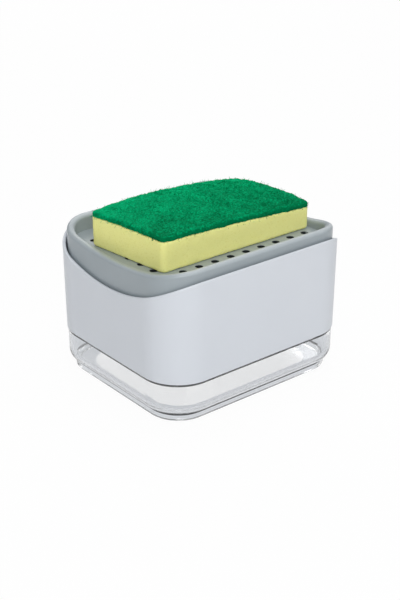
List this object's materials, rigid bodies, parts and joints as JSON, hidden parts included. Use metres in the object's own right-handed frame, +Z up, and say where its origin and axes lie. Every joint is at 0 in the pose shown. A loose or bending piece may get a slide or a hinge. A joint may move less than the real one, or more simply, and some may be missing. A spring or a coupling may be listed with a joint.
{
  "type": "soap pump caddy",
  "caption": "Sink caddy with a clear soap tank, a white shell and a grey perforated tray that is pressed to pump soap up into the sponge lying on it.",
  "frame": {"origin": "on the table, under the middle of the caddy's plan", "axes": "+Z up, +X along the caddy's length, -Y out of its front face"},
  "size_m": [0.1398, 0.121, 0.1045],
  "materials": {
    "clear_plastic": "clear, polished",
    "white_plastic": "satin gloss",
    "grey_plastic": "satin",
    "pump_plastic": "natural, moulded",
    "seal_rubber": "matt",
    "steel": "bright",
    "yellow_foam": "fine open foam",
    "green_fibre": "rough fibre web"
  },
  "bodies": {
    "tank": {"reservoir": "clear_plastic"},
    "housing": {"outer_shell": "white_plastic", "pump_deck": "grey_plastic", "deck_screws": "steel", "tank_seal": "seal_rubber", "pump_cylinder": "pump_plastic", "collar_gasket": "seal_rubber", "pump_collar": "white_plastic", "stem_guide": "pump_plastic", "dip_tube": "pump_plastic", "ball_cage": "pump_plastic", "return_spring": "steel"},
    "tray": {"press_tray": "grey_plastic", "drain_plate": "grey_plastic", "soap_outlet": "grey_plastic", "pump_stem": "pump_plastic", "piston": "pump_plastic", "piston_seal": "seal_rubber"},
    "inlet_valve": {"inlet_ball": "steel"},
    "outlet_valve": {"outlet_ball": "steel"},
    "sponge": {"sponge_foam": "yellow_foam", "scouring_pad": "green_fibre"}
  },
  "joints": [
    {"name": "housing_lift", "type": "slide", "parent": "tank", "child": "housing", "axis": [0, 0, 1], "range_m": [0, 0.06]},
    {"name": "tray_press", "type": "slide", "parent": "housing", "child": "tray", "axis": [0, 0, -1], "range_m": [0, 0.008], "stiffness_N_per_m": 600, "springref_m": -0.012, "deforming": ["return_spring"]},
    {"name": "inlet_ball_lift", "type": "slide", "parent": "housing", "child": "inlet_valve", "axis": [0, 0, 1], "range_m": [0, 0.0012]},
    {"name": "outlet_ball_lift", "type": "slide", "parent": "tray", "child": "outlet_valve", "axis": [0, 0, 1], "range_m": [0, 0.0008]},
    {"name": "sponge_lift", "type": "slide", "parent": "tray", "child": "sponge", "axis": [0, 0, 1], "range_m": [0, 0.05]}
  ]
}
